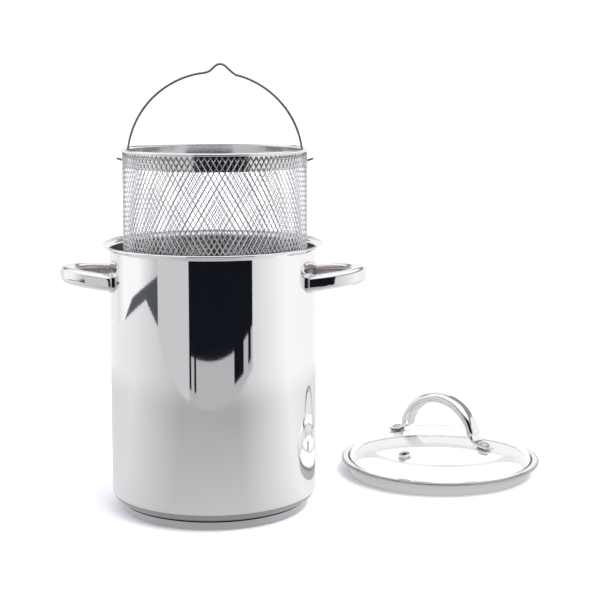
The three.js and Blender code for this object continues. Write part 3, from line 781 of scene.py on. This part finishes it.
def lid_rim():
    fold = FLANGE_HEIGHT / 2
    fold_r, fold_h = FLANGE_R - fold, FLANGE_Z + fold
    top = FLANGE_Z + FLANGE_HEIGHT
    inner_r = SKIRT_R - RIM_SHEET
    outline = Outline(inner_r, 0.25).arc(inner_r + 0.25, 0.25, 0.25, 180, 360, 6)
    outline.line(SKIRT_R, FLANGE_Z - 0.6).arc(SKIRT_R + 0.6, FLANGE_Z - 0.6, 0.6, 180, 90, 6)
    outline.arc(fold_r, fold_h, fold, -90, 90, 16).line(FOLD_EDGE_R + 0.2, top)
    outline.arc(FOLD_EDGE_R + 0.2, top - 0.25, 0.25, 90, 270, 6)
    outline.arc(fold_r, fold_h, fold - RIM_SHEET, 90, -90, 12).line(inner_r, FLANGE_Z + RIM_SHEET)
    piece = lathe("lid_rim_ring", outline, place=LID_PLACE)
    place_piece(piece, satin_lid, "lid", "satin_steel", "lid_rim")
    shade_faces(piece, band_steel, lambda point, _: math.hypot(point.x, point.y) < inner_r + 0.1)
    shade_faces(piece, polished, lambda point, _: point.z > FLANGE_Z - 0.1)
    # Painted reflection: the outer fold is darker steel, a painted dark reflection line along the flange's
    # edge
    shade_faces(piece, painted_fold_reflection, lambda point, _: math.hypot(point.x, point.y) > FLANGE_R - 1.7)
    # Painted shadow: the fold's inner edge beside the glass is near-black steel standing in for the shadow in
    # the gap between rim and glass
    shade_faces(piece, painted_gap_shade, lambda point, _: math.hypot(point.x, point.y) < FOLD_EDGE_R + 0.25
                and point.z > top - RIM_SHEET - 0.1)


def lid_handle():
    """A strap from foot to foot: flat and round-ended on the glass, thicker and round-edged over the arch."""
    slope = math.asin(RIVET_AT / CROWN_R)
    foot_lift = 1.4 + STRAP_THICK / 2
    seat = np.array([RIVET_AT, crown_height(RIVET_AT)])
    normal = np.array([math.sin(slope), math.cos(slope)])
    along = np.array([math.cos(slope), -math.sin(slope)])

    def foot_point(x):
        point = seat + along * (x - RIVET_AT) / math.cos(slope) + normal * foot_lift
        return point[0], point[1]

    spring = foot_point(ARCH_HALF_SPAN + 2.2)
    rise = ARCH_TOP - ARCH_THICK / 2 - spring[1]
    side = [foot_point(x) for x in np.linspace(FOOT_END, ARCH_HALF_SPAN + 4.5, 22)]
    for angle in np.linspace(0.13, math.pi / 2, 16):
        side.append((ARCH_HALF_SPAN * math.cos(angle), spring[1] + rise * math.sin(angle)))
    way = [(x, 0, z) for x, z in side] + [(-x, 0, z) for x, z in side[:-1][::-1]]
    path = smooth_path(way, 3)
    travelled = np.concatenate([[0], np.cumsum(np.linalg.norm(np.diff(path, axis=0), axis=1))])
    foot_length = FOOT_END - ARCH_HALF_SPAN - 3
    sections = []
    for distance in travelled:
        reach = min(distance, travelled[-1] - distance)
        share = np.clip((reach - foot_length) / 9, 0, 1)
        share = share * share * (3 - 2 * share)
        thick = STRAP_THICK + (ARCH_THICK - STRAP_THICK) * share
        end_r = ARCH_WIDTH / 2
        width = ARCH_WIDTH
        if reach < end_r:
            width = 2 * math.sqrt(max(end_r ** 2 - (end_r - reach) ** 2, 0.36))
        section = rounded_section(width, thick, min(0.46 * thick, 0.45 * width))
        sections.append(section)
    piece = plane_sweep("lid_handle_strap", path, sections, LID_PLACE)
    place_piece(piece, polished_loop, "lid", "polished_steel", "lid_handle")
    # Painted shade: the strap's undersides and the arch's inner faces get darker, warmer steel
    shade_faces(piece, painted_shade_steel, lambda point, normal: normal.z < -0.05 and abs(normal.z) > 0.2
                or normal.dot(Vector((point.x, point.y, 0)).normalized()) < -0.8 and point.z > CROWN_Z + 4)


def washer(name, inner_r, outer_r, low, high, place, edge=0.2):
    outline = Outline(inner_r, low).line(outer_r - edge, low).arc(outer_r - edge, low + edge, edge, -90, 0, 4)
    outline.arc(outer_r - edge, high - edge, edge, 0, 90, 4).line(inner_r, high)
    return lathe(name, outline, SMALL_ROUND, place)


def hexagon(across_corners):
    def shape(angle, radius, height):
        flat = across_corners * math.cos(math.pi / 6)
        edge = flat / math.cos((angle % (math.pi / 3)) - math.pi / 6)
        return min(radius, edge) if radius > 3 else radius
    return shape


def lid_fixings():
    shank_r, head_r, head_h = 2.2, 4.4, 2.0
    head_low = 3.1
    pad_r, pad_low, pad_high = 6.2, 0.05, 1.35
    gasket_r, gasket_thick = 6.5, 1.0
    nut_r, nut_height, nut_chamfer = 4.6, 2.2, 0.4
    dome_r = (head_r ** 2 + head_h ** 2) / (2 * head_h)
    dome_edge = math.degrees(math.acos(head_r / dome_r))
    glass_low = -(GLASS_THICK + 0.3)
    for side, x in (("left", -RIVET_AT), ("right", RIVET_AT)):
        place = on_crown(x, 0)
        outline = Outline(0, glass_low - 3.8).line(shank_r - 0.3, glass_low - 3.8)
        outline.line(shank_r, glass_low - 3.5).line(shank_r, head_low)
        outline.line(head_r, head_low)
        outline.arc(0, head_low + head_h - dome_r, dome_r, dome_edge, 90, 12)
        place_piece(lathe(f"{side}_rivet_turned", outline, SMALL_ROUND, place), rivet_steel, "lid",
                    "polished_steel", f"{side}_rivet")
        pad = washer(f"{side}_pad", shank_r + 0.2, pad_r, pad_low, pad_high, place)
        # Painted shade: the pad is near-black to paint the shade under the handle's foot
        place_piece(pad, painted_shade_silicone, "lid", "silicone", f"{side}_foot_pad")
        gasket = washer(f"{side}_gasket", shank_r + 0.2, gasket_r, glass_low - gasket_thick, glass_low, place)
        place_piece(gasket, silicone, "lid", "silicone", f"{side}_glass_gasket")
        nut_top = glass_low - gasket_thick - 0.1
        nut_low = nut_top - nut_height
        outline = Outline(shank_r + 0.15, nut_low).line(nut_r - 0.6, nut_low)
        outline.line(nut_r, nut_low + nut_chamfer).line(nut_r, nut_top).line(shank_r + 0.15, nut_top)
        nut = lathe(f"{side}_hex_nut", outline, SMALL_ROUND, place, hexagon(nut_r))
        place_piece(nut, satin_lid, "lid", "satin_steel", f"{side}_nut")


def steam_vent():
    hole_r, tube_r, flange_r = 1.9, 2.9, 4.8
    local = LID_PLACE.inverted() @ (VENT * MM)
    lean = math.hypot(local.x, local.y) / MM / (CROWN_R - GLASS_THICK / 2)
    middle = math.hypot(local.x, local.y) / MM + lean
    turn = math.atan2(local.y, local.x)
    place = on_crown(middle * math.cos(turn), middle * math.sin(turn))
    low = -(GLASS_THICK + 1.6)
    outline = Outline(hole_r, low).line(tube_r, low).line(tube_r, 0.05).line(flange_r - 0.2, 0.05)
    outline.arc(flange_r - 0.6, 0.65, 0.6, -20, 90, 8)
    outline.arc(hole_r + 0.6, 0.65, 0.6, 90, 180, 8)
    piece = lathe("vent_eyelet", outline, SMALL_ROUND, place)
    place_piece(piece, polished_loop, "lid", "polished_steel", "vent_grommet")
    axis = place.to_3x3() @ Vector((0, 0, 1))

    def in_bore(point, normal):
        along = axis * point.dot(axis)
        return (point - along).length < hole_r + 0.15 and abs(normal.dot(axis)) < 0.9

    # Painted shade: the vent's bore is near-black steel standing in for the shade inside the hole
    shade_faces(piece, painted_gap_shade, in_bore)
    ring = washer("vent_back_ring", tube_r + 0.1, 5.6, low + 0.3, -(GLASS_THICK + 0.1), place)
    place_piece(ring, satin_lid, "lid", "satin_steel", "vent_ring")


# ---------------------------------------------------------------- studio

# Tints of the room, added to the red, green and blue of a level from 0 to 255
COOL = (0, -2, 1)
NIGHT = (-3, 0, 7)


def seen_in_steel(level, tint=COOL):
    """The light that a card gives off for polished steel to show it at this level, from 0 to 255."""
    shown = np.minimum(level + np.array(tint), 255) / 255
    shown = np.where(shown > 0.04045, ((shown + 0.055) / 1.055) ** 2.4, shown / 12.92)
    return tuple(shown / np.array(POLISHED_TONE))


def only_reflected(card):
    card.visible_camera = False
    card.visible_diffuse = False
    card.visible_transmission = False
    card.visible_shadow = False
    card.visible_volume_scatter = False


def glow_material(name):
    material = bpy.data.materials.new(name)
    material.use_nodes = True
    tree = material.node_tree
    tree.nodes.remove(tree.nodes["Principled BSDF"])
    glow = add_node(tree, "ShaderNodeEmission")
    tree.links.new(glow.outputs[0], tree.nodes["Material Output"].inputs["Surface"])
    return material, tree, glow


def plain_glow(name, level, tint=COOL):
    material, _, glow = glow_material(name)
    glow.inputs["Color"].default_value = (*seen_in_steel(level, tint), 1)
    return material


def compass_ramp(tree, bearing, levels, tint=COOL):
    """A tone for each bearing in degrees; 0 is straight in front of the pot and 90 is its right."""
    ramp = add_node(tree, "ShaderNodeValToRGB")
    stops = ramp.color_ramp.elements
    while len(stops) < len(levels):
        stops.new(0.5)
    for stop, (degrees, level) in zip(stops, levels):
        stop.position = (degrees + 180) / 360
        stop.color = (*seen_in_steel(level, tint), 1)
    tree.links.new(bearing, ramp.inputs["Fac"])
    return ramp.outputs["Color"]


# The room's brightness by bearing, from 0 to 255: on the floor near the pot, and beyond it
NEAR_LEVELS = [(-180, 210), (-90, 220), (-30, 180), (30, 180), (90, 240), (180, 210)]
FAR_LEVELS = [(-180, 240), (-90, 230), (-30, 190), (30, 200), (90, 250), (180, 240)]
CLOSE_LIFT = 20
EDGE_DROP = 15


def shifted(levels, step):
    """The same levels, lighter or darker by a step that is largest just in front of the pot."""
    return [(degrees, level + step * max(math.cos(math.radians(degrees - 5)), 0) ** 3)
            for degrees, level in levels]


def bearing_share(tree, parts):
    """The bearing of a point as a share of a full turn, a half being straight in front of the pot."""
    forward = add_node(tree, "ShaderNodeMath", {1: -1.0}, operation="MULTIPLY")
    tree.links.new(parts.outputs["Y"], forward.inputs[0])
    bearing = add_node(tree, "ShaderNodeMath", operation="ARCTAN2")
    tree.links.new(parts.outputs["X"], bearing.inputs[0])
    tree.links.new(forward.outputs[0], bearing.inputs[1])
    share = add_node(tree, "ShaderNodeMapRange", {"From Min": -math.pi, "From Max": math.pi})
    tree.links.new(bearing.outputs[0], share.inputs["Value"])
    return share.outputs["Result"]


def object_parts(tree):
    place = add_node(tree, "ShaderNodeTexCoord")
    parts = add_node(tree, "ShaderNodeSeparateXYZ")
    tree.links.new(place.outputs["Object"], parts.inputs[0])
    return parts


def studio_shell():
    """The white floor and walls as polished steel sees them, brighter to the sides than in front."""
    material, tree, glow = glow_material("studio_shell")
    parts = object_parts(tree)
    share = bearing_share(tree, parts)
    flat = add_node(tree, "ShaderNodeCombineXYZ")
    tree.links.new(parts.outputs["X"], flat.inputs["X"])
    tree.links.new(parts.outputs["Y"], flat.inputs["Y"])
    distance = add_node(tree, "ShaderNodeVectorMath", operation="LENGTH")
    tree.links.new(flat.outputs[0], distance.inputs[0])
    seen = compass_ramp(tree, share, shifted(NEAR_LEVELS, CLOSE_LIFT))
    steps = ((0.13, 0.30, "LINEAR", NEAR_LEVELS), (0.30, 0.43, "LINEAR", shifted(NEAR_LEVELS, -EDGE_DROP)),
             (0.45, 0.62, "SMOOTHSTEP", FAR_LEVELS))
    for start, end, blend, levels in steps:
        reach = add_node(tree, "ShaderNodeMapRange", {"From Min": start, "From Max": end},
                         interpolation_type=blend)
        tree.links.new(distance.outputs["Value"], reach.inputs["Value"])
        mix = add_node(tree, "ShaderNodeMix", data_type="RGBA")
        tree.links.new(reach.outputs["Result"], mix.inputs["Factor"])
        tree.links.new(seen, mix.inputs["A"])
        tree.links.new(compass_ramp(tree, share, levels), mix.inputs["B"])
        seen = mix.outputs["Result"]
    tree.links.new(seen, glow.inputs["Color"])
    shell = open_dome("studio_shell", [(1, 0.2), (1600, 0.2), (1600, 1500)])
    shell.data.materials.append(material)
    only_reflected(shell)


def open_dome(name, rows):
    """A round wall about the pot, through rows of (radius, height)."""
    turns = 96
    angles = np.arange(turns) * 2 * math.pi / turns
    verts = [(r * math.cos(a), r * math.sin(a), h) for r, h in rows for a in angles]
    faces = []
    for low in range(0, (len(rows) - 1) * turns, turns):
        high = low + turns
        for i in range(turns):
            j = (i + 1) % turns
            faces.append([low + i, low + j, high + j, high + i])
    return to_object(name, verts, faces)


def backdrop():
    """A plain white wall far behind everything, seen by the camera and through the glass only."""
    wall = open_dome("backdrop", [(5800, -10), (5800, 3000), (3000, 5500), (10, 6000)])
    material, _, glow = glow_material("backdrop")
    glow.inputs["Color"].default_value = (1, 1, 1, 1)
    glow.inputs["Strength"].default_value = 1.3
    wall.data.materials.append(material)
    wall.visible_diffuse = False
    wall.visible_glossy = False
    wall.visible_shadow = False
    wall.visible_volume_scatter = False


def front_card(name, corners, ahead, level, tint=COOL):
    """A flat card standing in front of the pot; its corners are (bearing in degrees, height)."""
    verts = [(ahead * math.tan(math.radians(bearing)), -ahead, height) for bearing, height in corners]
    card = to_object(name, verts, [list(range(len(verts)))])
    card.data.materials.append(plain_glow(name, level, tint))
    only_reflected(card)


def curved_card(name, low_edge, high_edge, radius, levels, tint=COOL):
    """A card bent about the pot; each edge is a list of (bearing in degrees, height)."""
    bearings = np.linspace(low_edge[0][0], low_edge[-1][0], 60)
    verts = []
    for edge in (low_edge, high_edge):
        xs, heights = zip(*edge)
        for bearing, height in zip(bearings, np.interp(bearings, xs, heights)):
            turn = math.radians(bearing)
            verts.append((radius * math.sin(turn), -radius * math.cos(turn), height))
    count = len(bearings)
    faces = [[i, i + 1, count + i + 1, count + i] for i in range(count - 1)]
    card = to_object(name, verts, faces)
    material, tree, glow = glow_material(name)
    share = bearing_share(tree, object_parts(tree))
    tree.links.new(compass_ramp(tree, share, levels, tint), glow.inputs["Color"])
    card.data.materials.append(material)
    only_reflected(card)


def upright(left, right, low, high):
    return [(left, low), (right, low), (right, high), (left, high)]


def reflection_cards():
    """Plain shapes that the mirror finish shows: a dark room over a table's front edge, with four chair legs,
    and to the left a bright window with a dark sill."""
    edge = 470
    top = 460
    window_r, wall_r = 700, 1550
    front_card("grey_panel", upright(-55, -20, 0.2, top), edge, 200)
    front_card("table_front", upright(-20, 45, 0.2, 75), edge - 1, 180)
    front_card("dark_room", upright(-20, 45, 50, top), edge - 2, 20, NIGHT)
    for number, (left, right) in enumerate([(-20, -18), (-15, -13), (25, 35), (40, 43)]):
        front_card(f"chair_leg_{number + 1}", upright(left, right, 15, 65), edge - 3, 20, NIGHT)
    sill_low = [(-105, 40), (-70, 70), (-55, 40)]
    sill_high = [(-105, 40), (-90, 70), (-55, 100)]
    daylight = [(-120, 220), (-105, 250), (-80, 250), (-55, 190)]
    curved_card("window", [(-120, 30)] + sill_low, [(-120, 600), (-55, 600)], window_r, daylight)
    curved_card("window_sill", sill_low, sill_high, window_r - 2, [(-105, 90), (-55, 80)], NIGHT)
    wall_levels = [(-180, 150), (180, 150)]
    curved_card("upper_wall", [(-50, 780), (235, 780)], [(-50, 1250), (235, 1250)], wall_r, wall_levels)


def floor():
    verts = [(-6000, -6000, 0), (6000, -6000, 0), (6000, 6000, 0), (-6000, 6000, 0)]
    sheet = to_object("floor", verts, [[0, 1, 2, 3]])
    material, tree, shader = new_material("studio_floor")
    shader.inputs["Roughness"].default_value = 0.9
    shader.inputs["Specular IOR Level"].default_value = 0.1
    grain = noise(tree, (1, 1, 1), 60.0)
    colour = tinted(tree, grain, (0.95, 0.95, 0.95), (0.965, 0.965, 0.965))
    tree.links.new(colour, shader.inputs["Base Color"])
    sheet.data.materials.append(material)


def lights():
    world = bpy.data.worlds.new("studio_world")
    bpy.context.scene.world = world
    world.use_nodes = True
    sky = world.node_tree.nodes["Background"]
    sky.inputs["Color"].default_value = (1.22, 1.20, 1.30, 1)
    sky.inputs["Strength"].default_value = 1.0
    lamp = bpy.data.lights.new("key_light", "SUN")
    lamp.energy = 2.1
    lamp.angle = math.radians(55)
    key = bpy.data.objects.new("key_light", lamp)
    key.location = (1.0, -0.35, 1.6)
    key.rotation_euler = (-key.location).to_track_quat("-Z", "Y").to_euler()
    key.visible_glossy = False
    bpy.context.scene.collection.objects.link(key)


def camera():
    data = bpy.data.cameras.new("camera")
    data.sensor_width = 36.0
    data.lens = 88.0
    data.shift_y = -0.1
    data.clip_start = 0.05
    data.clip_end = 50.0
    eye = bpy.data.objects.new("camera", data)
    eye.location = (0.0909, -1.1378, 0.3510)
    eye.rotation_euler = (math.pi / 2 - 0.1225, 0, 0.020)
    bpy.context.scene.collection.objects.link(eye)
    bpy.context.scene.camera = eye


pot_body()
base()
side_handles()
basket()
lid_glass()
lid_rim()
lid_handle()
lid_fixings()
steam_vent()
floor()
backdrop()
studio_shell()
reflection_cards()
lights()
camera()
bpy.context.scene.view_settings.view_transform = "Standard"
